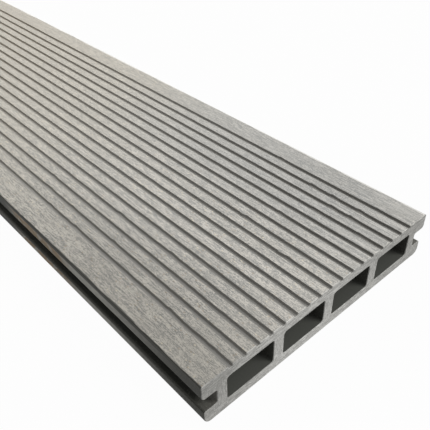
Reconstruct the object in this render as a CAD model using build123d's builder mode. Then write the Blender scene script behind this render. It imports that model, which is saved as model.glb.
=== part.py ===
from build123d import *
import os

# Extruded composite decking board, hollow and grooved, lying flat.
# X runs across the board, Y along it and Z up from the underside, with the
# origin at the middle of the underside.

os.makedirs("parts", exist_ok=True)

# Board
board_length = 2200.0
board_width = 150.0
board_thickness = 25.0
top_edge_radius = 0.8
bottom_edge_radius = 3.2

# Clip slots along the two long sides, under an upper lip and over a shorter lower lip
lower_lip_height = 8.0
slot_height = 8.4
slot_depth = 7.7
lower_lip_setback = 0.8
slot_floor_radius = 1.1
slot_roof_radius = 0.9
upper_lip_radius = 1.8
lower_lip_radius = 1.0

# Walls around the hollow chambers, and webs between them
chamber_count = 4
chamber_radius = 1.5
bottom_wall = 5.2
top_wall = 5.6
side_wall = 5.4
web_thickness = 6.05

# Grooves of the walking face, between two plain margins
groove_count = 17
plain_margin = 15.0
groove_mouth_width = 2.3
groove_floor_width = 1.7
groove_depth = 1.3
groove_rim_radius = 0.3
groove_floor_radius = 0.4

# What the sizes above fix
upper_lip_x = board_width / 2
lower_lip_x = upper_lip_x - lower_lip_setback
slot_wall_x = upper_lip_x - slot_depth
slot_roof_z = lower_lip_height + slot_height
chamber_pitch = (2 * (slot_wall_x - side_wall) + web_thickness) / chamber_count
chamber_width = chamber_pitch - web_thickness
chamber_height = board_thickness - bottom_wall - top_wall
chamber_centre_z = bottom_wall + chamber_height / 2
groove_pitch = (board_width - 2 * plain_margin) / (groove_count - 1)
groove_cut_half = groove_mouth_width / 2 + 2 * groove_rim_radius
groove_cut_rise = groove_depth

# One groove across its centre line, with the walking face at height zero
with BuildSketch() as groove_profile:
    with BuildLine():
        groove_line = FilletPolyline(
            (-groove_cut_half, 0),
            (-groove_mouth_width / 2, 0),
            (-groove_floor_width / 2, -groove_depth),
            (groove_floor_width / 2, -groove_depth),
            (groove_mouth_width / 2, 0),
            (groove_cut_half, 0),
            radius=[groove_rim_radius, groove_floor_radius, groove_floor_radius, groove_rim_radius],
        )
        Polyline(
            groove_line @ 1,
            (groove_cut_half, groove_cut_rise),
            (-groove_cut_half, groove_cut_rise),
            groove_line @ 0,
        )
    make_face()

# The board is one extrusion of its section, sawn square at both ends
with BuildPart() as decking_board:
    with BuildSketch(Plane.XZ):
        with BuildLine():
            FilletPolyline(
                (0, 0),
                (lower_lip_x, 0),
                (lower_lip_x, lower_lip_height),
                (slot_wall_x, lower_lip_height),
                (slot_wall_x, slot_roof_z),
                (upper_lip_x, slot_roof_z),
                (upper_lip_x, board_thickness),
                (0, board_thickness),
                radius=[
                    bottom_edge_radius,
                    lower_lip_radius,
                    slot_floor_radius,
                    slot_roof_radius,
                    upper_lip_radius,
                    top_edge_radius,
                ],
            )
            mirror(about=Plane.YZ)
        make_face()
        with Locations((0, chamber_centre_z)):
            with GridLocations(chamber_pitch, 0, chamber_count, 1):
                RectangleRounded(chamber_width, chamber_height, chamber_radius, mode=Mode.SUBTRACT)
        with Locations((0, board_thickness)):
            with GridLocations(groove_pitch, 0, groove_count, 1):
                add(groove_profile.sketch, mode=Mode.SUBTRACT)
    extrude(amount=board_length / 2, both=True)

decking_board.part.label = "decking_board"
export_step(decking_board.part, "parts/decking_board.step")
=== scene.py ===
"""Looks of a hollow composite decking board: its mesh, finishes, light and camera."""

import logging
import math
from collections.abc import Iterable
from dataclasses import dataclass
from enum import Enum
from functools import cached_property

import bmesh
import bpy
from mathutils import Matrix, Vector, noise


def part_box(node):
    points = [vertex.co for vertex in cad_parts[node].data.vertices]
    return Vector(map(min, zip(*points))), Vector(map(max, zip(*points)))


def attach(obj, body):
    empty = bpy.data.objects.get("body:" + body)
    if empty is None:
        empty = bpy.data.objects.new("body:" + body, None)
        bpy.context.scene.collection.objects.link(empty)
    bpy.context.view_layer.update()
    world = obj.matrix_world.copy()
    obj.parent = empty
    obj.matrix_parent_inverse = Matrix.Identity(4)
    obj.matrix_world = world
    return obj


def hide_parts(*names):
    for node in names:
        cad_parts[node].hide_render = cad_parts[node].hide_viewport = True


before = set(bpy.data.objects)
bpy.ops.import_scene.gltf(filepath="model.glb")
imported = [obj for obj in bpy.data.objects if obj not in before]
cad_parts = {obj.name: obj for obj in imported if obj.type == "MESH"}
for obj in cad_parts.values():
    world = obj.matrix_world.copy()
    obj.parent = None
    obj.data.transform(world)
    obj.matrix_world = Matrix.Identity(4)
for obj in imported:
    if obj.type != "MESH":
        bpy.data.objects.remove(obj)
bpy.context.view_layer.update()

MM = 0.001
NODE = "decking_board"
IMAGE_PIXELS = 430
WHITE = "#FFFFFF"

Socket = bpy.types.NodeSocket
Value = float | Socket
Colour = str | Socket
Span = tuple[float, float]
Size = tuple[float, float, float]
Corner = tuple[float, float, float, int]

log = logging.getLogger("decking_board")


class Surface(Enum):
    """The surfaces of the board, each with its own material index."""

    WALKING = 0
    SKIN = 1
    SAWN = 2
    UNDERSIDE = 3


@dataclass(frozen=True)
class Grain:
    """A cloudy pattern with marks of a real size, in millimetres across, along and up the board.

    The offset keeps patterns of one size apart, and the span is the range of
    the noise that is stretched to zero to one.
    """

    size: Size
    detail: float = 2.0
    roughness: float = 0.5
    offset: float = 0.0
    span: Span | None = None


@dataclass(frozen=True)
class Coat:
    """A colour, how strongly it is laid on, and whether it stains what is under it or covers it."""

    colour: str
    strength: float = 1.0
    stains: bool = False


@dataclass(frozen=True)
class Flecks:
    """Separate flecks: the cell that one may fill, in millimetres, and the share of cells that have one.

    The edge is where a fleck fades out and where it is full, in parts of its cell.
    """

    coat: Coat
    size: Size
    share: float
    offset: float
    edge: Span = (0.5, 0.2)


@dataclass(frozen=True)
class CrushedEdge:
    """The pale crumbs that a saw leaves along a cut, weakest at the board's left, in millimetres."""

    colour: str
    crumbs: Grain
    reach: float
    soft: Span
    left_strength: float
    strength: float = 0.7
    strength_across: Span = (-60.0, -20.0)


@dataclass(frozen=True)
class Gloss:
    """How a surface takes light: roughness, relief in millimetres, reflection and the fibres' veil."""

    roughness: float
    relief: float
    specular: float
    sheen: float = 0.0
    sheen_roughness: float = 0.5
    sheen_tint: str = "#FFEBCC"


def linear(colour: str) -> tuple[float, float, float, float]:
    """Turns an sRGB hex colour into linear light.

    Args:
        colour: The colour as six hex digits after a hash sign.

    Returns:
        Linear red, green, blue and an alpha of one.
    """
    channels = [int(colour[i : i + 2], 16) / 255 for i in (1, 3, 5)]
    light = [c / 12.92 if c <= 0.04045 else ((c + 0.055) / 1.055) ** 2.4 for c in channels]
    return (*light, 1.0)


def add_node(
    tree: bpy.types.NodeTree,
    kind: str,
    settings: dict | None = None,
    inputs: dict | None = None,
) -> bpy.types.Node:
    """Adds one node to a tree and fills it in.

    Args:
        tree: The tree that gets the node.
        kind: The node's type name.
        settings: Properties to set on the node.
        inputs: Sockets by name or number, each with a value or the socket that feeds it.

    Returns:
        The new node.
    """
    node = tree.nodes.new(kind)
    for name, value in (settings or {}).items():
        setattr(node, name, value)
    for name, value in (inputs or {}).items():
        if isinstance(value, Socket):
            tree.links.new(value, node.inputs[name])
        else:
            node.inputs[name].default_value = value
    return node


@dataclass(frozen=True)
class Finish:
    """One of the board's materials, and the steps that build it."""

    board: "DeckingBoard"
    name: str
    gloss: Gloss

    @cached_property
    def material(self) -> bpy.types.Material:
        """The material, empty until the steps fill its tree."""
        material = bpy.data.materials.new(self.name)
        material.use_nodes = True
        material.node_tree.nodes.clear()
        return material

    @property
    def tree(self) -> bpy.types.NodeTree:
        """The material's node tree."""
        return self.material.node_tree

    @cached_property
    def place(self) -> Socket:
        """The place on the board."""
        return add_node(self.tree, "ShaderNodeTexCoord").outputs["Object"]

    @cached_property
    def axes(self) -> tuple[Socket, ...]:
        """The place on the board as three numbers: across, along and up."""
        return tuple(add_node(self.tree, "ShaderNodeSeparateXYZ", None, {0: self.place}).outputs)

    @property
    def across(self) -> Socket:
        """The place across the board, from its middle line."""
        return self.axes[0]

    @property
    def up(self) -> Socket:
        """The height above the underside."""
        return self.axes[2]

    @cached_property
    def side(self) -> Socket:
        """The distance from the middle line."""
        return self.add("ShaderNodeMath", self.across, operation="ABSOLUTE")

    @cached_property
    def depth(self) -> Socket:
        """The depth below the walking face."""
        return self.add("ShaderNodeMath", self.board.thickness * MM, self.up, operation="SUBTRACT")

    @cached_property
    def distance(self) -> Socket:
        """The distance from the near end."""
        return self.add("ShaderNodeMath", self.axes[1], self.board.length / 2 * MM, operation="ADD")

    @cached_property
    def from_cut(self) -> Socket:
        """The distance from the nearer of the two sawn ends."""
        half = self.board.length / 2 * MM
        from_middle = self.add("ShaderNodeMath", self.axes[1], operation="ABSOLUTE")
        return self.add("ShaderNodeMath", half, from_middle, operation="SUBTRACT")

    def add(self, kind: str, *values: Value, **settings: str) -> Socket:
        """Adds a node to the finish.

        Args:
            kind: The node's type name.
            values: Numbers or sockets for its inputs, in order.
            settings: Properties to set on the node.

        Returns:
            Its first output.
        """
        return add_node(self.tree, kind, settings, dict(enumerate(values))).outputs[0]

    def times(self, product: Value, *values: Value) -> Socket:
        """Multiplies numbers, in order."""
        for value in values:
            product = self.add("ShaderNodeMath", product, value, operation="MULTIPLY")
        return product

    def plus(self, total: Value, value: Socket, factor: Value) -> Socket:
        """Adds a value, times a factor, to a total."""
        return self.add("ShaderNodeMath", value, factor, total, operation="MULTIPLY_ADD")

    def between(self, share: Socket, low: float, high: float) -> Socket:
        """Turns a share into a number from low to high."""
        return self.plus(low, share, high - low)

    def stretch(self, value: Socket, low: Value, high: Value) -> Socket:
        """Stretches a range of a value to zero to one, with soft ends.

        Args:
            value: The socket to stretch.
            low: Value that becomes zero, a number or a socket.
            high: Value that becomes one, a number or a socket.

        Returns:
            The stretched value.
        """
        settings = {"interpolation_type": "SMOOTHSTEP", "clamp": True}
        inputs = {"Value": value, "From Min": low, "From Max": high}
        return add_node(self.tree, "ShaderNodeMapRange", settings, inputs).outputs["Result"]

    def band(self, length: Socket, start: float, full: float) -> Socket:
        """Rises from zero to one as a length goes from start to full, in millimetres."""
        return self.stretch(length, start * MM, full * MM)

    def within(self, length: Socket, reach: Value, soft: Span) -> Socket:
        """Finds where a length is under a reach.

        Args:
            length: The length.
            reach: The reach.
            soft: Where the soft edge starts and ends, in millimetres inside the reach.

        Returns:
            One inside and zero outside.
        """
        inside = self.add("ShaderNodeMath", reach, length, operation="SUBTRACT")
        return self.band(inside, *soft)

    def scaled(self, size: Size, offset: float) -> Socket:
        """Scales the place on the board to marks of a real size.

        Args:
            size: Size of a mark in millimetres across, along and up the board.
            offset: Shift that keeps patterns apart.

        Returns:
            The pattern's own coordinates.
        """
        scale = tuple(1 / (length * MM) for length in size)
        inputs = {"Vector": self.place, "Scale": scale, "Location": (offset, offset, offset)}
        return add_node(self.tree, "ShaderNodeMapping", {"vector_type": "POINT"}, inputs).outputs[0]

    def grain(self, grain: Grain) -> Socket:
        """Draws a cloudy pattern.

        Args:
            grain: The pattern.

        Returns:
            The pattern, from zero to one.
        """
        inputs = {
            "Vector": self.scaled(grain.size, grain.offset),
            "Scale": 1.0,
            "Detail": grain.detail,
            "Roughness": grain.roughness,
        }
        pattern = add_node(self.tree, "ShaderNodeTexNoise", {"noise_dimensions": "3D"}, inputs)
        clouds = pattern.outputs["Fac"]
        return self.stretch(clouds, *grain.span) if grain.span else clouds

    def blend(self, share: Value, under: Colour, over: Colour, stains: bool = False) -> Socket:
        """Lays one colour over another.

        Args:
            share: How much of the upper colour shows.
            under: The lower colour, a hex colour or a socket.
            over: The upper colour, a hex colour or a socket.
            stains: Whether the upper colour stains the lower one, as a multiply does.

        Returns:
            The mixed colour.
        """
        lower, upper = (linear(colour) if isinstance(colour, str) else colour for colour in (under, over))
        mode = "MULTIPLY" if stains else "MIX"
        settings = {"data_type": "RGBA", "blend_type": mode, "clamp_factor": True}
        return add_node(self.tree, "ShaderNodeMix", settings, {0: share, 6: lower, 7: upper}).outputs[2]

    def lay(self, under: Colour, coat: Coat, share: Value) -> Socket:
        """Lays a coat over a colour.

        Args:
            under: The colour.
            coat: The coat.
            share: How much of the coat shows, before its own strength.

        Returns:
            The coated colour.
        """
        if coat.strength != 1.0:
            share = self.times(share, coat.strength)
        return self.blend(share, under, coat.colour, coat.stains)

    def scatter(self, under: Socket, flecks: Flecks, share: Value = 1.0) -> Socket:
        """Scatters flecks over a colour, with soft edges.

        Args:
            under: The colour.
            flecks: The kind of fleck.
            share: How much of the flecks shows, before their own strength.

        Returns:
            The flecked colour.
        """
        cells = add_node(
            self.tree,
            "ShaderNodeTexVoronoi",
            {"voronoi_dimensions": "3D", "feature": "F1"},
            {"Vector": self.scaled(flecks.size, flecks.offset), "Scale": 1.0},
        )
        chosen = self.add("ShaderNodeMath", cells.outputs["Color"], flecks.share, operation="LESS_THAN")
        shape = self.stretch(cells.outputs["Distance"], *flecks.edge)
        return self.lay(under, flecks.coat, self.times(shape, chosen, share))

    def crush(self, colour: Socket, edge: CrushedEdge, length: Socket) -> Socket:
        """Draws a sawn edge's crumbs.

        Args:
            colour: The colour so far.
            edge: The kind of edge.
            length: The distance from it.

        Returns:
            The colour with the crumbs.
        """
        reach = self.times(self.grain(edge.crumbs), edge.reach * MM)
        crumbs = self.within(length, reach, edge.soft)
        right = self.band(self.across, *edge.strength_across)
        strength = self.between(right, edge.left_strength, edge.strength)
        return self.blend(self.times(crumbs, strength), colour, edge.colour)

    def join(self, colour: Socket, roughness: Value, relief: Socket) -> bpy.types.Material:
        """Joins colour, roughness and relief into the surface.

        Args:
            colour: The base colour.
            roughness: The roughness.
            relief: The height pattern, from zero to one.

        Returns:
            The finished material.
        """
        bump = add_node(
            self.tree,
            "ShaderNodeBump",
            None,
            {"Height": relief, "Distance": self.gloss.relief * MM, "Strength": 1.0},
        )
        surface = add_node(
            self.tree,
            "ShaderNodeBsdfPrincipled",
            None,
            {
                "Base Color": colour,
                "Roughness": roughness,
                "Specular IOR Level": self.gloss.specular,
                "Sheen Weight": self.gloss.sheen,
                "Sheen Roughness": self.gloss.sheen_roughness,
                "Sheen Tint": linear(self.gloss.sheen_tint),
                "Normal": bump.outputs[0],
            },
        )
        add_node(self.tree, "ShaderNodeOutputMaterial", None, {"Surface": surface.outputs[0]})
        return self.material


@dataclass(frozen=True)
class BrushedComposite(Finish):
    """Wood-plastic composite whose face was run under wire brushes.

    The brushes tear off the closed plastic skin, so the eye gets a dull, light
    grey face with short fibre strokes along the board and cream wood flecks.
    The fibres are drawn about twice as coarse as they are, so that they show.

    Spans are in millimetres, where a change starts and where it is full: across
    the board from its middle, along it from its near end, or from a sawn end.
    """

    name: str = "brushed_wood_plastic_composite"
    grooved: bool = True
    gloss: Gloss = Gloss(roughness=0.6, relief=0.1, specular=0.5, sheen=0.15)
    fibres: Grain = Grain((0.45, 4.6, 0.45), roughness=0.55)
    fibre_height: float = 0.45
    hairs: Grain = Grain((0.33, 0.9, 0.33), detail=1.0, offset=3.0)
    hair_height: float = 0.45
    lines: Grain = Grain((0.45, 60.0, 0.45), detail=1.0, offset=61.0)
    line_height: float = 0.1
    streak_height: float = 0.4
    left_streaks: float = 0.2
    streaks_along: Span = (50.0, 12.0)
    dark_fibre: str = "#868887"
    pale_fibre: str = "#DAD6CE"
    clean_dark_fibre: str = "#8A8C8C"
    clean_pale_fibre: str = "#CBCAC6"
    clean_across: Span = (-5.0, 38.0)
    clean_along: Span = (270.0, 150.0)
    clean_flecks: float = 0.2
    fibre_span: Span = (0.385, 0.615)
    fibre_spread: float = 0.04
    even_across: Span = (-75.0, 0.0)
    even_along: Span = (40.0, 90.0)
    margin_across: Span = (61.0, 65.0)
    margin_along: Span = (70.0, 170.0)
    margin_contrast: float = 0.6
    clouds: Grain = Grain((4.0, 14.0, 4.0), detail=1.0, offset=7.0, span=(0.65, 0.35))
    cloud: Coat = Coat("#989793", 0.22)
    brown_flecks: Flecks = Flecks(Coat("#A08D74", 0.65), (0.8, 1.6, 0.8), share=0.17, offset=37.0)
    cream_flecks: Flecks = Flecks(Coat("#ECE2CA", 0.8), (0.8, 1.6, 0.8), share=0.12, offset=17.0)
    dark_flecks: Flecks = Flecks(Coat("#6A6762", 0.5), (0.8, 1.6, 0.8), share=0.08, offset=29.0)
    pits: Flecks = Flecks(Coat("#6A6762", 0.6), (0.9, 2.8, 0.9), share=0.03, offset=91.0)
    chips: Flecks = Flecks(Coat("#6A6762", 0.8), (0.9, 2.2, 0.9), share=0.16, offset=83.0)
    chips_from_cut: Span = (7.0, 1.0)
    crushed: CrushedEdge = CrushedEdge(
        "#E2DFD7",
        Grain((1.4, 1.0, 1.0), offset=53.0, span=(0.52, 0.72)),
        reach=1.8,
        soft=(-0.25, 0.15),
        left_strength=0.25,
    )
    sawdust: Coat = Coat("#E2DFD7", 0.11)
    sawdust_from_cut: Span = (34.0, 16.0)
    # painted warm light, strongest on the far part
    painted_warm_light: Coat = Coat("#FFFEFA", stains=True)
    painted_warm_light_along: Span = (90.0, 240.0)
    dust: Coat = Coat("#948D80", 0.5)
    dust_along: Span = (100.0, 450.0)
    settled_along: Span = (0.0, 250.0)
    fade_along: Span = (1400.0, 650.0)
    # painted shade on the plain margins
    painted_shade: Coat = Coat("#CCCBC8", stains=True)
    painted_shade_left: Span = (-5.0, -75.0)
    painted_shade_along: Span = (300.0, 60.0)
    painted_shade_right: Span = (54.0, 64.0)
    right_strength: float = 0.15
    left_skin: str = "#3F3F3C"
    # pale painted highlight along the right arris
    right_arris_highlight: str = "#DFDEDA"
    edge_wander: Grain = Grain((4.0, 26.0, 4.0), detail=5.0, roughness=0.55, offset=71.0, span=(0.3, 0.7))
    edge_reach: float = 1.1
    arris_highlight_reach: float = 0.6
    edge_soft: Span = (-0.1, 0.1)
    groove_wall: str = "#8B8A86"
    # darker groove wall on the clean part: painted shade
    shaded_clean_groove_wall: str = "#767571"
    # a little darker than the wall: painted shade at the groove bottom
    groove_floor: str = "#848380"
    groove_dust: str = "#A2A19D"
    warm_groove_dust: str = "#A8A297"
    groove_roughness: float = 0.75
    torn: Grain = Grain((0.5, 1.6, 0.5), roughness=0.7, offset=41.0)
    torn_reach: float = 0.5
    worn_inset: float = 0.15
    torn_soft: Span = (-0.05, 0.05)
    wall_depth: Span = (0.05, 0.2)
    floor_rise: Span = (0.25, 0.05)

    def build(self) -> bpy.types.Material:
        """Builds the material.

        Returns:
            The material.
        """
        right = self.band(self.across, *self.clean_across)
        clean = self.times(right, self.band(self.distance, *self.clean_along))
        relief = self.draw_fibres(right)
        face = self.draw_face(relief, clean)
        face = self.crush_ends(face)
        roughness = self.gloss.roughness
        if self.grooved:
            face, wall = self.wear_and_paint_light_on_face(face, clean)
            roughness = self.between(wall, roughness, self.groove_roughness)
        return self.join(face, roughness, relief)

    def draw_fibres(self, right: Socket) -> Socket:
        """Draws the height of the fibres, with long streaks near the cut, strongest on the right.

        Args:
            right: The share of the right part.

        Returns:
            The height, from zero to one around a half.
        """
        line = self.grain(self.lines)
        fine = self.times(line, self.line_height)
        fine = self.plus(fine, self.grain(self.hairs), self.hair_height)
        relief = self.plus(fine, self.grain(self.fibres), self.fibre_height)
        streaks = self.times(self.band(self.distance, *self.streaks_along), self.streak_height)
        streaks = self.times(streaks, self.between(right, self.left_streaks, 1.0))
        ridges = self.add("ShaderNodeMath", line, 0.5, operation="SUBTRACT")
        return self.plus(relief, ridges, streaks)

    def draw_face(self, relief: Socket, clean: Socket) -> Socket:
        """Draws the fibres, clouds and flecks of the brushed face.

        The fibres show less towards the right, and more on the margins, which
        also have small pits.

        Args:
            relief: The fibres' height.
            clean: The share of the cleanest part, which is cooler and has few wood flecks.

        Returns:
            The face's colour.
        """
        dark = self.blend(clean, self.dark_fibre, self.clean_dark_fibre)
        pale = self.blend(clean, self.pale_fibre, self.clean_pale_fibre)
        even = self.band(self.across, *self.even_across)
        even = self.add("ShaderNodeMath", even, 0.5, operation="SUBTRACT")
        even = self.times(even, self.band(self.distance, *self.even_along))
        margin = self.band(self.side, *self.margin_across)
        margin = self.times(margin, self.band(self.distance, *self.margin_along))
        even = self.plus(even, margin, -self.margin_contrast)
        low = self.plus(self.fibre_span[0], even, -self.fibre_spread)
        high = self.plus(self.fibre_span[1], even, self.fibre_spread)
        base = self.blend(self.stretch(relief, low, high), dark, pale)
        base = self.lay(base, self.cloud, self.grain(self.clouds))
        wood = self.between(clean, 1.0, self.clean_flecks)
        base = self.scatter(base, self.brown_flecks, wood)
        base = self.scatter(base, self.cream_flecks, wood)
        base = self.scatter(base, self.dark_flecks)
        return self.scatter(base, self.pits, margin)

    def crush_ends(self, face: Socket) -> Socket:
        """Pales and chips the face at the saw cuts, where the blade tore the fibres, under fine sawdust.

        Args:
            face: The brushed face's colour.

        Returns:
            The colour with pale crumbs, sawdust and dark chips along the ends.
        """
        face = self.crush(face, self.crushed, self.from_cut)
        face = self.lay(face, self.sawdust, self.band(self.from_cut, *self.sawdust_from_cut))
        return self.scatter(face, self.chips, self.band(self.from_cut, *self.chips_from_cut))

    def wear_and_paint_light_on_face(self, face: Socket, clean: Socket) -> tuple[Socket, Socket]:
        """Lays painted warm light and dust on the walking face away from its near end, and draws its
        margins, edges and grooves, with painted shade and highlight.

        Args:
            face: The brushed face's colour.
            clean: The share of the cleanest part.

        Returns:
            The whole colour, and how much of it is the grooves' skin.
        """
        fade = self.band(self.distance, *self.fade_along)
        spans = (self.painted_warm_light_along, self.dust_along, self.settled_along)
        warm_light, dusty, settled = (self.times(self.band(self.distance, *span), fade) for span in spans)
        # painted warm light towards the far part
        face = self.lay(face, self.painted_warm_light, warm_light)
        face = self.lay(face, self.dust, dusty)
        face = self.shade_margins(face)
        face = self.end_brushing_and_highlight_arris(face)
        dust = self.blend(dusty, self.groove_dust, self.warm_groove_dust)
        return self.add_grooves(face, clean, settled, dust)

    def shade_margins(self, face: Socket) -> Socket:
        """Darkens the plain margins a little with painted shade, the left one most at its near end.

        Args:
            face: The face's colour.

        Returns:
            The colour with the shaded margins.
        """
        # painted shade on the left margin, strongest near the near end, and a little on the right one
        left = self.band(self.across, *self.painted_shade_left)
        left = self.times(left, self.band(self.distance, *self.painted_shade_along))
        right = self.times(self.band(self.across, *self.painted_shade_right), self.right_strength)
        return self.lay(face, self.painted_shade, self.add("ShaderNodeMath", left, right, operation="MAXIMUM"))

    def end_brushing_and_highlight_arris(self, face: Socket) -> Socket:
        """Ends the brushing in a ragged line just inside the long edges.

        Beyond it the left edge keeps its dark skin, and the right arris gets a pale painted highlight.

        Args:
            face: The face's colour.

        Returns:
            The colour with both edges.
        """
        inward = self.add("ShaderNodeMath", self.board.width / 2 * MM, self.side, operation="SUBTRACT")
        right = self.add("ShaderNodeMath", self.across, 0.0, operation="GREATER_THAN")
        reach = self.times(self.grain(self.edge_wander), self.edge_reach * MM)
        # the right edge's band is wider and pale: a painted highlight
        reach = self.plus(reach, right, self.arris_highlight_reach * MM)
        tone = self.blend(right, self.left_skin, self.right_arris_highlight)
        return self.blend(self.within(inward, reach, self.edge_soft), face, tone)

    def add_grooves(
        self, face: Socket, clean: Socket, settled: Socket, dust: Socket
    ) -> tuple[Socket, Socket]:
        """Lays the grooves' duller skin into the brushed face, with a torn edge, and dust in them.

        Args:
            face: The face's colour.
            clean: The share of the cleanest part, whose grooves are wider and have darker walls, painted
                shade.
            settled: The share of the dust that settled in the grooves.
            dust: That dust's colour.

        Returns:
            The whole colour, and how much of it is the grooves' skin.
        """
        board = self.board
        rim = board.groove_mouth / 2 * MM
        edge = self.between(clean, rim - self.worn_inset * MM, rim)
        edge = self.plus(edge, self.grain(self.torn), self.torn_reach * MM)
        half_pitch = board.groove_pitch * MM / 2
        off_centre = self.add("ShaderNodeMath", self.across, half_pitch, operation="PINGPONG")
        inside = self.within(off_centre, edge, self.torn_soft)
        below = self.band(self.depth, *self.wall_depth)
        outermost = (board.groove_span / 2 + board.groove_mouth) * MM
        near = self.add("ShaderNodeMath", self.side, outermost, operation="LESS_THAN")
        wall = self.times(self.add("ShaderNodeMath", inside, below, operation="MAXIMUM"), near)
        floor = self.band(self.depth, *(board.groove_depth - rise for rise in self.floor_rise))
        # painted shade: darker groove walls on the clean part
        skin = self.blend(clean, self.groove_wall, self.shaded_clean_groove_wall)
        # painted shade: the groove bottom a little darker
        skin = self.blend(floor, skin, self.groove_floor)
        skin = self.blend(settled, skin, dust)
        return self.blend(wall, face, skin), wall


@dataclass(frozen=True)
class ExtrudedSkin(Finish):
    """The closed skin that the composite keeps where it left the die.

    Plastic comes to the surface in the hot die, so the eye gets charcoal walls
    with a faint sheen and fine die lines along the board. The lips' outer faces
    get a little painted shade and a pale painted reflection, brown in stretches.

    Spans are in millimetres, where a change starts and where it is full: along
    the board from its near end, or from a sawn end.
    """

    name: str = "extruded_wood_plastic_skin"
    gloss: Gloss = Gloss(roughness=0.6, relief=0.05, specular=0.15)
    colour: str = "#4D4D48"
    die_lines: Grain = Grain((0.5, 30.0, 0.5))
    die_line: Coat = Coat("#383834", 0.5)
    die_line_span: Span = (0.6, 0.35)
    specks: Grain = Grain((0.6, 0.6, 0.6), detail=1.0, offset=13.0, span=(0.55, 0.72))
    speck: Coat = Coat("#7C7C75", 0.4)
    blur: float = 0.1
    slot_shade: Coat = Coat("#AEB0AC", stains=True)
    shade_along: Span = (175.0, 85.0)
    shade_from_cut: Span = (3.0, 10.0)
    # painted light where the slots open at the cuts
    slot_mouth_light: Coat = Coat("#A5A29A", 0.3)
    slot_mouth_light_from_cut: Span = (9.0, 1.0)
    sawdust: Coat = Coat("#595A55")
    sawdust_rise: float = 1.0
    crumbs: Flecks = Flecks(Coat("#A5A29A"), (0.9, 0.9, 0.9), share=0.03, offset=47.0)
    crumbs_from_cut: Span = (25.0, 0.0)
    # painted shade on the lips' outer faces
    painted_shade: Coat = Coat("#DFDFDB", stains=True)
    outer_face_inset: Span = (0.6, 0.1)
    # pale painted reflection, and brown painted reflection, on the lips' outer faces
    painted_reflection: str = "#BBBAB2"
    painted_light: str = "#9C886D"
    reflection_depth: Span = (2.0, 3.0)
    reflection_under_lip: Span = (1.2, 2.2)
    reflection_over_lip: float = 1.7
    reflection_along: Span = (9.0, 80.0)
    reflection_end_along: Span = (165.0, 145.0)
    brown_along: Span = (92.0, 108.0)
    far_along: Span = (165.0, 225.0)
    far_reflections: Grain = Grain((90.0, 130.0, 90.0), offset=5.0, span=(0.5, 0.68))
    far_browns: Grain = Grain((60.0, 45.0, 60.0), detail=3.0, offset=19.0, span=(0.5, 0.65))
    brown_patches: Grain = Grain((2.5, 6.0, 2.5), offset=27.0, span=(0.3, 0.5))
    reflection_mottle: Grain = Grain((0.9, 2.4, 0.9), offset=33.0, span=(0.35, 0.65))
    reflection_mottle_strength: Span = (0.77, 1.07)

    def build(self) -> bpy.types.Material:
        """Builds the material.

        Returns:
            The material.
        """
        line = self.grain(self.die_lines)
        colour = self.lay(self.colour, self.die_line, self.stretch(line, *self.die_line_span))
        colour = self.lay(colour, self.speck, self.grain(self.specks))
        colour = self.shade_slots(colour)
        colour = self.dust_chambers(colour)
        colour = self.paint_lip_reflections(colour)
        return self.join(colour, self.gloss.roughness, line)

    def shade_slots(self, colour: Socket) -> Socket:
        """Paints shade into the slots' skin along their near part, and pales it with painted light at the
        cuts.

        Args:
            colour: The colour so far.

        Returns:
            The colour with the darker slots.
        """
        board = self.board
        lip, roof = board.lower_lip_height, board.lower_lip_height + board.slot_height
        above = self.band(self.up, lip - self.blur, lip + self.blur)
        under = self.band(self.up, roof + self.blur, roof - self.blur)
        wall = (board.slot_wall - self.blur) * MM
        beside = self.add("ShaderNodeMath", self.side, wall, operation="GREATER_THAN")
        slot = self.times(above, under, beside)
        shaded = self.times(
            slot,
            self.band(self.distance, *self.shade_along),
            self.band(self.from_cut, *self.shade_from_cut),
        )
        colour = self.lay(colour, self.slot_shade, shaded)
        # painted light at the slots' mouths
        cut = self.times(slot, self.band(self.from_cut, *self.slot_mouth_light_from_cut))
        return self.lay(colour, self.slot_mouth_light, cut)

    def dust_chambers(self, colour: Socket) -> Socket:
        """Lays sawdust on the chambers' floors, with pale crumbs near the cuts.

        Args:
            colour: The colour so far.

        Returns:
            The colour with the dusted floors.
        """
        board = self.board
        top = board.bottom_wall + self.sawdust_rise
        low = self.band(self.up, top, board.bottom_wall + self.blur)
        wall = (board.chamber_wall + self.blur) * MM
        inner = self.add("ShaderNodeMath", self.side, wall, operation="LESS_THAN")
        floor = self.times(low, inner)
        colour = self.lay(colour, self.sawdust, floor)
        near = self.times(self.band(self.from_cut, *self.crumbs_from_cut), floor)
        return self.scatter(colour, self.crumbs, near)

    def paint_lip_reflections(self, colour: Socket) -> Socket:
        """Darkens the outer faces of the lips with painted shade, and paints a pale reflection on them,
        brown in stretches.

        The near part of the right lips is out of sight in the photograph and
        stays as extruded.

        Args:
            colour: The colour so far.

        Returns:
            The colour with the painted shade and reflections.
        """
        board = self.board
        lip = board.width / 2 - board.lower_lip_setback
        outer = self.band(self.side, *(lip - inset for inset in self.outer_face_inset))
        # painted shade: the lips' outer faces a little darker
        colour = self.lay(colour, self.painted_shade, outer)
        below = self.band(self.depth, *self.reflection_depth)
        lower = self.band(self.up, *(board.lower_lip_height - drop for drop in self.reflection_under_lip))
        slot = (board.lower_lip_height + self.reflection_over_lip) * MM
        upper = self.add("ShaderNodeMath", self.up, slot, operation="GREATER_THAN")
        lips = self.add("ShaderNodeMath", lower, upper, operation="MAXIMUM")
        faces = self.times(outer, self.times(below, lips))
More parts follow.
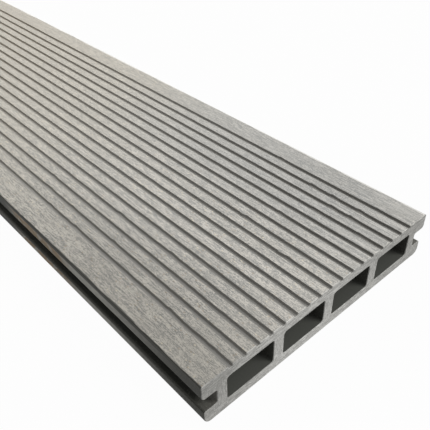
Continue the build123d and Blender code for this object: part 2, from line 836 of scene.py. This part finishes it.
        # painted reflection: pale on the left lips near the near end, brown in stretches, repeated in
        # patches further on
        rise = self.band(self.distance, *self.reflection_along)
        fall = self.band(self.distance, *self.reflection_end_along)
        left = self.add("ShaderNodeMath", self.across, 0.0, operation="LESS_THAN")
        near = self.times(rise, fall, left)
        beyond = self.band(self.distance, *self.far_along)
        far = self.times(self.grain(self.far_reflections), beyond)
        painted_reflection = self.times(self.add("ShaderNodeMath", near, far, operation="MAXIMUM"), faces)
        brown_near = self.times(self.band(self.distance, *self.brown_along), near)
        brown_far = self.times(self.grain(self.far_browns), beyond)
        brown = self.add("ShaderNodeMath", brown_near, brown_far, operation="MAXIMUM")
        brown = self.times(brown, self.grain(self.brown_patches))
        pale = self.blend(brown, self.painted_reflection, self.painted_light)
        mottled = self.between(self.grain(self.reflection_mottle), *self.reflection_mottle_strength)
        return self.blend(self.times(painted_reflection, mottled), colour, pale)


@dataclass(frozen=True)
class SawnComposite(Finish):
    """Composite cut across by a fine saw.

    The blade smears the plastic over the wood flour, so the eye gets a smooth
    grey with soft clouds and a few pale crumbs at the top edge. Its colours are
    light, so the lower middle carries painted light, and painted shade darkens
    it towards the outer corners and the top.

    Spans are in millimetres, across the board from its middle or around a height.
    """

    name: str = "sawn_wood_plastic_composite"
    gloss: Gloss = Gloss(roughness=0.7, relief=0.04, specular=0.35)
    # light colours, so that the unshaded lower middle carries painted light
    colour: str = "#EBEAE5"
    smear: str = "#BAB9B5"
    smear_span: Span = (0.6, 0.4)
    flat_smears: Grain = Grain((3.4, 3.4, 0.55))
    upright_smears: Grain = Grain((0.55, 0.55, 3.4), offset=31.0)
    web_start: Span = (-0.8, 1.2)
    cloud: Coat = Coat("#C1C0BB", 0.5)
    clouds: Grain = Grain((7.0, 7.0, 5.0), detail=1.0, offset=23.0, span=(0.6, 0.4))
    flour: Grain = Grain((0.6, 0.6, 0.6), offset=9.0)
    flour_span: Span = (0.52, 0.7)
    pale: Coat = Coat("#FFFEFA", 0.7)
    painted_edge_shade: Coat = Coat("#CBCBCA", stains=True)
    unshaded_from_left: Span = (-72.0, -25.0)
    unshaded_from_right: Span = (75.0, -20.0)
    low_unshaded: float = 0.26
    crushed: CrushedEdge = CrushedEdge(
        "#E8E6E0",
        Grain((1.6, 1.0, 0.8), offset=53.0, span=(0.5, 0.7)),
        reach=0.9,
        soft=(-0.2, 0.15),
        left_strength=0.2,
    )

    def build(self) -> bpy.types.Material:
        """Builds the material.

        Returns:
            The material.
        """
        flour = self.grain(self.flour)
        smeared = self.stretch(self.draw_smears(), *self.smear_span)
        colour = self.blend(smeared, self.colour, self.smear)
        colour = self.lay(colour, self.cloud, self.grain(self.clouds))
        colour = self.lay(colour, self.pale, self.stretch(flour, *self.flour_span))
        # painted light in the lower middle of the cut, painted shade towards its outer corners and its top
        middle = self.band(self.across, *self.unshaded_from_left)
        middle = self.times(middle, self.band(self.across, *self.unshaded_from_right))
        low = self.times(self.band(self.up, self.board.thickness, 0.0), self.low_unshaded)
        painted_light = self.plus(low, middle, 1 - self.low_unshaded)
        painted_edge_shade = self.add("ShaderNodeMath", 1.0, painted_light, operation="SUBTRACT")
        colour = self.lay(colour, self.painted_edge_shade, painted_edge_shade)
        colour = self.crush(colour, self.crushed, self.depth)
        return self.join(colour, self.gloss.roughness, flour)

    def draw_smears(self) -> Socket:
        """Draws the flow of the melt: across in the flat walls, and upright in the webs.

        Returns:
            The smears, from zero to one around a half.
        """
        board = self.board
        flat = self.grain(self.flat_smears)
        upright = self.grain(self.upright_smears)
        roof = board.thickness - board.top_wall
        above = self.band(self.up, *(board.bottom_wall + step for step in self.web_start))
        under = self.band(self.up, *(roof - step for step in self.web_start))
        web = self.times(above, under)
        kept = self.times(flat, self.add("ShaderNodeMath", 1.0, web, operation="SUBTRACT"))
        return self.plus(kept, upright, web)


@dataclass(frozen=True)
class Nick:
    """A chip, or with a bite below zero a burr, on the right edge of a groove, in millimetres.

    It grows with the distance from the near end and ends in a step.
    """

    groove: int
    distance: float
    length: float
    bite: float


@dataclass(frozen=True)
class DeckingBoard:
    """The board, one extrusion of a hollow section, in millimetres.

    Faces are told apart by their normals: a face runs lengthwise if less than
    that share of its normal is along the board, and is level if more than that
    share is upright.
    """

    width: float
    length: float
    thickness: float
    top_edge_radius: float = 0.8
    bottom_edge_radius: float = 3.2
    lower_lip_height: float = 8.0
    lower_lip_setback: float = 0.8
    lower_lip_radius: float = 1.0
    upper_lip_radius: float = 1.8
    slot_height: float = 8.4
    slot_depth: float = 7.7
    slot_floor_radius: float = 1.1
    slot_roof_radius: float = 0.9
    bottom_wall: float = 5.2
    top_wall: float = 5.6
    side_wall: float = 5.4
    web: float = 6.05
    chambers: int = 4
    chamber_radius: float = 1.5
    grooves: int = 17
    plain_margin: float = 15.0
    groove_mouth: float = 2.3
    groove_floor: float = 1.7
    groove_depth: float = 1.3
    groove_rim_radius: float = 0.3
    groove_floor_radius: float = 0.4
    large_corner: int = 5
    small_corner: int = 4
    groove_corner: int = 2
    slack: float = 0.1
    arris: float = 0.35
    arris_share: float = 0.6
    arris_variation: float = 0.4
    arris_waves: float = 400.0
    first_step: float = 0.85
    step_growth: float = 1.0115
    fray: float = 0.17
    fray_waves: tuple[Span, ...] = ((14.0, 0.5), (2.4, 7.5))
    fray_rows_apart: float = 5.1
    fray_sides_apart: float = 0.3
    fray_reach: float = 0.4
    fray_lost_at_floor: float = 0.5
    sharp_degrees: float = 35.0
    lengthwise: float = 0.5
    level: float = 0.7
    underside_reach: float = 0.3
    nicks: tuple[Nick, ...] = (
        Nick(0, 21.0, 9.0, -0.3),
        Nick(0, 34.0, 6.0, 0.4),
        Nick(0, 108.0, 9.0, 0.45),
        Nick(0, 134.0, 8.0, 0.4),
        Nick(1, 88.0, 6.0, 0.4),
        Nick(1, 126.0, 7.0, 0.45),
        Nick(1, 148.0, 8.0, 0.4),
        Nick(2, 158.0, 7.0, 0.4),
        Nick(3, 101.0, 8.0, 0.45),
        Nick(3, 60.0, 8.0, 0.45),
        Nick(8, 20.0, 8.0, 0.5),
        Nick(8, 29.0, 4.0, -0.7),
        Nick(9, 54.0, 8.0, 0.5),
        Nick(9, 62.5, 4.0, -0.7),
        Nick(11, 46.0, 8.0, 0.5),
        Nick(13, 7.0, 9.0, 0.55),
        Nick(13, 36.0, 8.0, 0.5),
        Nick(14, 18.0, 9.0, 0.7),
        Nick(14, 30.0, 9.0, 0.7),
        Nick(15, 19.0, 8.0, 0.7),
        Nick(15, 36.0, 8.0, 0.7),
        Nick(15, 49.0, 9.0, 0.7),
        Nick(16, 13.0, 8.0, 0.5),
        Nick(16, 80.0, 9.0, 0.6),
    )

    @property
    def slot_wall(self) -> float:
        """Distance from the middle to the back of a clip slot."""
        return self.width / 2 - self.slot_depth

    @property
    def chamber_wall(self) -> float:
        """Distance from the middle to the outermost chamber's far side."""
        return self.slot_wall - self.side_wall

    @property
    def chamber_roof(self) -> float:
        """Height of the chambers' roof."""
        return self.thickness - self.top_wall

    @property
    def groove_span(self) -> float:
        """Distance between the first and the last groove."""
        return self.width - 2 * self.plain_margin

    @property
    def groove_pitch(self) -> float:
        """Distance from groove to groove."""
        return self.groove_span / (self.grooves - 1)

    def build(self) -> bpy.types.Object:
        """Builds and dresses the board.

        Returns:
            The board's object.
        """
        bm = bmesh.new()
        self.draw_loop(bm, self.outline())
        for index in range(self.chambers):
            self.draw_loop(bm, self.chamber(index))
        self.extrude(bm)
        self.break_arrises(bm)
        self.fray_grooves(bm)
        bm.normal_update()
        for face in bm.faces:
            face.smooth = True
            face.material_index = self.surface_of(face).value
        mesh = bpy.data.meshes.new("board_stock")
        bm.to_mesh(mesh)
        bm.free()
        mesh.set_sharp_from_angle(angle=math.radians(self.sharp_degrees))
        self.dress(mesh)
        board = bpy.data.objects.new("board_stock", mesh)
        bpy.context.scene.collection.objects.link(board)
        board.modifiers.new("flat_faces_stay_flat", "WEIGHTED_NORMAL").keep_sharp = True
        return board

    def outline(self) -> list[Corner]:
        """Lists the corners of the section's outside, once round.

        Returns:
            Each corner's place across and up, its radius and its number of segments.
        """
        lip = self.width / 2
        lower = lip - self.lower_lip_setback
        roof = self.lower_lip_height + self.slot_height
        right = [
            (lower, 0.0, self.bottom_edge_radius, self.large_corner),
            (lower, self.lower_lip_height, self.lower_lip_radius, self.small_corner),
            (self.slot_wall, self.lower_lip_height, self.slot_floor_radius, self.small_corner),
            (self.slot_wall, roof, self.slot_roof_radius, self.small_corner),
            (lip, roof, self.upper_lip_radius, self.small_corner),
            (lip, self.thickness, self.top_edge_radius, self.small_corner),
        ]
        top = [corner for index in reversed(range(self.grooves)) for corner in self.groove(index)]
        left = [(-x, z, radius, segments) for x, z, radius, segments in reversed(right)]
        return right + top + left

    def groove(self, index: int) -> list[Corner]:
        """Lists the corners of one groove, from right to left.

        Args:
            index: The groove's number from the left.

        Returns:
            Each corner's place across and up, its radius and its number of segments.
        """
        centre = (index - (self.grooves - 1) / 2) * self.groove_pitch
        rim, floor = self.groove_mouth / 2, self.groove_floor / 2
        bottom = self.thickness - self.groove_depth
        return [
            (centre + rim, self.thickness, self.groove_rim_radius, self.groove_corner),
            (centre + floor, bottom, self.groove_floor_radius, self.groove_corner),
            (centre - floor, bottom, self.groove_floor_radius, self.groove_corner),
            (centre - rim, self.thickness, self.groove_rim_radius, self.groove_corner),
        ]

    def chamber(self, index: int) -> list[Corner]:
        """Lists the corners of one chamber.

        Args:
            index: The chamber's number from the left.

        Returns:
            Each corner's place across and up, its radius and its number of segments.
        """
        pitch = (2 * self.chamber_wall + self.web) / self.chambers
        centre = (index - (self.chambers - 1) / 2) * pitch
        half = (pitch - self.web) / 2
        low, high = self.bottom_wall, self.chamber_roof
        places = [(centre - half, low), (centre + half, low), (centre + half, high), (centre - half, high)]
        return [(x, z, self.chamber_radius, self.large_corner) for x, z in places]

    def draw_loop(self, bm: bmesh.types.BMesh, corners: list[Corner]) -> None:
        """Draws one closed wire at the near end and rounds its corners.

        Args:
            bm: The mesh that gets the wire.
            corners: The corners in order, each with place, radius and segments.
        """
        near = -self.length / 2
        verts = [bm.verts.new(Vector((x, near, z)) * MM) for x, z, _, _ in corners]
        for start, end in zip(verts, verts[1:] + verts[:1]):
            bm.edges.new((start, end))
        places = [vert.co.copy() for vert in verts]
        for i, (_, _, radius, segments) in enumerate(corners):
            into = places[i] - places[i - 1]
            out = places[(i + 1) % len(places)] - places[i]
            bmesh.ops.bevel(
                bm,
                geom=[verts[i]],
                affect="VERTICES",
                offset=radius * MM * math.tan(into.angle(out) / 2),
                offset_type="OFFSET",
                segments=segments,
                profile=0.5,
                material=-1,
                clamp_overlap=False,
            )

    def stations(self) -> list[float]:
        """Lists the places along the board where its outside has vertices.

        Returns:
            Distances from the near end, closest together where the fraying is seen from nearby.
        """
        places = [self.arris]
        step = self.first_step
        while places[-1] + step < self.length - self.arris:
            places.append(places[-1] + step)
            step *= self.step_growth
        places[-1] = self.length - self.arris
        return [*places, self.length]

    def few_stations(self) -> list[float]:
        """Lists the places along the board where its straight chambers have vertices."""
        return [self.arris, self.length / 2, self.length - self.arris, self.length]

    def in_chamber(self, vert: bmesh.types.BMVert) -> bool:
        """Tells whether a vertex of the wires is on a chamber.

        Args:
            vert: The vertex.

        Returns:
            Whether it is.
        """
        low, high = (self.bottom_wall - self.slack) * MM, (self.chamber_roof + self.slack) * MM
        return abs(vert.co.x) < (self.chamber_wall + self.slack) * MM and low < vert.co.z < high

    def extrude(self, bm: bmesh.types.BMesh) -> None:
        """Pulls the section's wires along the board and closes both ends.

        Args:
            bm: The mesh with the wires.
        """
        ends = [list(bm.edges), []]
        inner = {edge for edge in ends[0] if all(self.in_chamber(vert) for vert in edge.verts)}
        outer = [edge for edge in ends[0] if edge not in inner]
        for edges, stations in ((outer, self.stations()), (list(inner), self.few_stations())):
            for reach in stations:
                edges = self.pull(bm, edges, reach)
            ends[1] += edges
        for ring in ends:
            bmesh.ops.triangle_fill(bm, use_beauty=True, use_dissolve=False, edges=ring)
        bmesh.ops.recalc_face_normals(bm, faces=bm.faces)

    def pull(self, bm: bmesh.types.BMesh, edges: list[bmesh.types.BMEdge], reach: float) -> list:
        """Pulls wires on to the next station.

        Args:
            bm: The mesh.
            edges: The wires at the last station.
            reach: The next station's distance from the near end.

        Returns:
            The wires at the next station.
        """
        made = bmesh.ops.extrude_edge_only(bm, edges=edges)["geom"]
        moved = {item for item in made if isinstance(item, bmesh.types.BMVert)}
        for vert in moved:
            vert.co.y = (reach - self.length / 2) * MM
        return [
            item for item in made if isinstance(item, bmesh.types.BMEdge) and moved.issuperset(item.verts)
        ]

    def break_arrises(self, bm: bmesh.types.BMesh) -> None:
        """Draws both sawn ends in a little, so that their edges catch the light.

        Args:
            bm: The closed mesh.
        """
        half = self.length * MM / 2
        for vert in bm.verts:
            if abs(vert.co.y) > half - self.arris * MM / 2:
                sides = [face.normal for face in vert.link_faces if abs(face.normal.y) < self.lengthwise]
                outward = sum(sides, Vector()).normalized()
                wave = noise.noise(vert.co * self.arris_waves) * self.arris_variation
                vert.co -= outward * self.arris * MM * (self.arris_share + wave)

    def fray_grooves(self, bm: bmesh.types.BMesh) -> None:
        """Lets the brushed edges of the grooves wander, as torn composite does.

        Args:
            bm: The closed mesh.
        """
        middle_groove = self.grooves // 2
        for vert in bm.verts:
            across, along, up = (c / MM for c in vert.co)
            index = round(across / self.groove_pitch)
            off_centre = across - index * self.groove_pitch
            depth = self.thickness - up
            if abs(index) > middle_groove or abs(off_centre) > self.groove_mouth / 2 + self.fray_reach:
                continue
            if depth > self.groove_depth + self.slack / 10:
                continue
            side = math.copysign(1.0, off_centre)
            distance = along + self.length / 2
            shift = self.wander(index + side * self.fray_sides_apart, distance)
            shift *= 1 - self.fray_lost_at_floor * depth / self.groove_depth
            shift += self.nick(index + middle_groove, side, distance)
            vert.co.x += side * shift * MM

    def wander(self, line: float, distance: float) -> float:
        """Works out how far a groove's edge strays, less where the stations are far apart.

        Each of its waves has a length and its own row of the noise.

        Args:
            line: A number that tells the edges apart.
            distance: Distance from the near end.

        Returns:
            The shift away from the groove's middle.
        """
        spacing = self.first_step + (self.step_growth - 1) * distance
        stray = 0.0
        for length, row in self.fray_waves:
            wave = noise.noise(Vector((line * self.fray_rows_apart, distance / length, row)))
            stray += wave * min(1.0, length / (2 * spacing))
        return self.fray * stray

    def nick(self, groove: int, side: float, distance: float) -> float:
        """Works out how far the chips and burrs shift a groove's edge.

        Args:
            groove: The groove's number from the left.
            side: Minus one for the groove's left edge and one for its right.
            distance: Distance from the near end.

        Returns:
            The shift away from the groove's middle.
        """
        shift = 0.0
        for nick in self.nicks:
            part = (distance - nick.distance) / nick.length
            if nick.groove == groove and side > 0 and 0.0 < part < 1.0:
                shift += nick.bite * part
        return shift

    def surface_of(self, face: bmesh.types.BMFace) -> Surface:
        """Tells which surface a face belongs to.

        Args:
            face: A face of the finished mesh.

        Returns:
            The surface.
        """
        middle = face.calc_center_median() / MM
        if abs(middle.y) > self.length / 2 - self.arris:
            return Surface.SAWN
        if middle.z < self.underside_reach and abs(face.normal.z) > self.level:
            return Surface.UNDERSIDE
        brushed = self.thickness - self.groove_depth - self.slack
        if middle.z > brushed and abs(middle.x) < self.width / 2 - self.arris:
            return Surface.WALKING
        return Surface.SKIN

    def dress(self, mesh: bpy.types.Mesh) -> None:
        """Gives the mesh its materials, in the order of its surfaces.

        Args:
            mesh: The board's mesh.
        """
        finishes = {
            Surface.WALKING: BrushedComposite(self),
            Surface.SKIN: ExtrudedSkin(self),
            Surface.SAWN: SawnComposite(self),
            Surface.UNDERSIDE: BrushedComposite(self, "brushed_underside_composite", grooved=False),
        }
        for surface in Surface:
            mesh.materials.append(finishes[surface].build())


@dataclass(frozen=True)
class Softbox:
    """A large soft lamp, placed around the board's near end, in metres, degrees and watts."""

    name: str
    power: float
    size: float
    distance: float
    azimuth: float
    elevation: float
    colour: str = WHITE

    def hang(self, aim: Vector) -> None:
        """Hangs the lamp.

        Args:
            aim: The point that the lamp faces.
        """
        lamp = bpy.data.lights.new(self.name, "AREA")
        lamp.shape = "SQUARE"
        lamp.size = self.size
        lamp.energy = self.power
        lamp.color = linear(self.colour)[:3]
        turn, lift = math.radians(self.azimuth), math.radians(self.elevation)
        away = Vector((math.sin(turn) * math.cos(lift), -math.cos(turn) * math.cos(lift), math.sin(lift)))
        holder = bpy.data.objects.new(self.name, lamp)
        holder.location = aim + away * self.distance
        holder.rotation_euler = away.to_track_quat("Z", "Y").to_euler()
        bpy.context.scene.collection.objects.link(holder)


@dataclass(frozen=True)
class Studio:
    """A pale floor, a pale sky and two softboxes around the board, in metres."""

    floor_size: float = 30.0
    floor_gap: float = 0.0002
    floor_card: str = "#B0B0B0"
    floor_glow: float = 0.975
    sky: float = 0.28
    key: Softbox = Softbox("key_softbox", 50.0, 1.6, 3.0, 30.0, 46.0)
    rim: Softbox = Softbox("rim_softbox", 46.0, 1.8, 3.0, 155.0, 30.0, "#FFFCF6")

    def build(self, near_end: Vector) -> None:
        """Builds the floor, the sky and the lamps.

        Args:
            near_end: The middle of the board's near end, which the lamps are aimed at.
        """
        self.lay_floor()
        self.hang_sky()
        self.key.hang(near_end)
        self.rim.hang(near_end)

    def lay_floor(self) -> None:
        """Lays the floor a hair under the board."""
        bm = bmesh.new()
        bmesh.ops.create_grid(bm, x_segments=1, y_segments=1, size=self.floor_size / 2)
        mesh = bpy.data.meshes.new("studio_floor")
        bm.to_mesh(mesh)
        bm.free()
        floor = bpy.data.objects.new("studio_floor", mesh)
        floor.location.z = -self.floor_gap
        bpy.context.scene.collection.objects.link(floor)
        mesh.materials.append(self.white_card())

    def white_card(self) -> bpy.types.Material:
        """Builds the floor's card, white to the eye apart from a faint shadow, and open from below.

        Returns:
            The material.
        """
        material = bpy.data.materials.new("white_card")
        material.use_nodes = True
        tree = material.node_tree
        tree.nodes.clear()
        card = add_node(tree, "ShaderNodeBsdfDiffuse", None, {"Color": linear(self.floor_card)})
        glow = add_node(tree, "ShaderNodeEmission", None, {"Color": linear(WHITE), "Strength": 1.0})
        seen = self.seen(tree)
        share = add_node(tree, "ShaderNodeMath", {"operation": "MULTIPLY"}, {0: seen, 1: self.floor_glow})
        clear = add_node(tree, "ShaderNodeBsdfTransparent")
        below = add_node(tree, "ShaderNodeNewGeometry").outputs["Backfacing"]
        surface = card
        for part, over in ((share.outputs[0], glow), (below, clear)):
            inputs = {0: part, 1: surface.outputs[0], 2: over.outputs[0]}
            surface = add_node(tree, "ShaderNodeMixShader", None, inputs)
        add_node(tree, "ShaderNodeOutputMaterial", None, {"Surface": surface.outputs[0]})
        return material

    def seen(self, tree: bpy.types.NodeTree) -> Socket:
        """Finds the rays that show the stage itself, not its light.

        Args:
            tree: The tree that asks.

        Returns:
            One for camera, glossy and transmission rays, and zero for the rest.
        """
        path = add_node(tree, "ShaderNodeLightPath")
        rays = path.outputs["Is Camera Ray"]
        for kind in ("Is Glossy Ray", "Is Transmission Ray"):
            inputs = {0: rays, 1: path.outputs[kind]}
            rays = add_node(tree, "ShaderNodeMath", {"operation": "MAXIMUM"}, inputs).outputs[0]
        return rays

    def hang_sky(self) -> None:
        """Sets the world: white to the eye, and a softer light on the board."""
        world = bpy.data.worlds.new("studio_sky")
        bpy.context.scene.world = world
        world.use_nodes = True
        tree = world.node_tree
        tree.nodes.clear()
        inputs = {"Value": self.seen(tree), "To Min": self.sky, "To Max": 1.0}
        strength = add_node(tree, "ShaderNodeMapRange", None, inputs).outputs["Result"]
        inputs = {"Color": linear(WHITE), "Strength": strength}
        light = add_node(tree, "ShaderNodeBackground", None, inputs)
        add_node(tree, "ShaderNodeOutputWorld", None, {"Surface": light.outputs[0]})


@dataclass(frozen=True)
class PhotoCamera:
    """The camera at the photograph's place, in millimetres from the near end's lower middle."""

    place: Size = (-151.6, -99.4, 205.3)
    aim: Size = (-2.5, 73.1, 25.0)
    roll: float = -1.77
    focal_pixels: float = 570.6
    sensor: float = 36.0
    nearest: float = 10.0
    farthest: float = 100000.0

    def build(self, near_end: Vector) -> None:
        """Builds the camera and makes it the scene's own.

        Args:
            near_end: The lower middle of the board's near end.
        """
        data = bpy.data.cameras.new("photo_camera")
        data.sensor_width = self.sensor
        data.lens = self.sensor * self.focal_pixels / IMAGE_PIXELS
        data.clip_start = self.nearest * MM
        data.clip_end = self.farthest * MM
        camera = bpy.data.objects.new("photo_camera", data)
        place = near_end + Vector(self.place) * MM
        ahead = near_end + Vector(self.aim) * MM - place
        level = ahead.to_track_quat("-Z", "Y").to_matrix().to_4x4()
        turn = Matrix.Rotation(math.radians(self.roll), 4, "Z")
        camera.matrix_world = Matrix.Translation(place) @ level @ turn
        bpy.context.scene.collection.objects.link(camera)
        bpy.context.scene.camera = camera


def main() -> None:
    """Builds the board around the frame, then the stage and the camera."""
    logging.basicConfig(level=logging.INFO, format="%(name)s: %(message)s")
    low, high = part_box(NODE)
    size = (high - low) / MM
    board = DeckingBoard(width=size.x, length=size.y, thickness=size.z).build()
    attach(board, "root")
    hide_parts(NODE)
    log.info("%s: %d faces", board.name, len(board.data.polygons))
    near_end = Vector(((low.x + high.x) / 2, low.y, low.z))
    Studio().build(near_end)
    PhotoCamera().build(near_end)
    bpy.context.scene.view_settings.view_transform = "Standard"


if __name__ == "__main__":
    main()
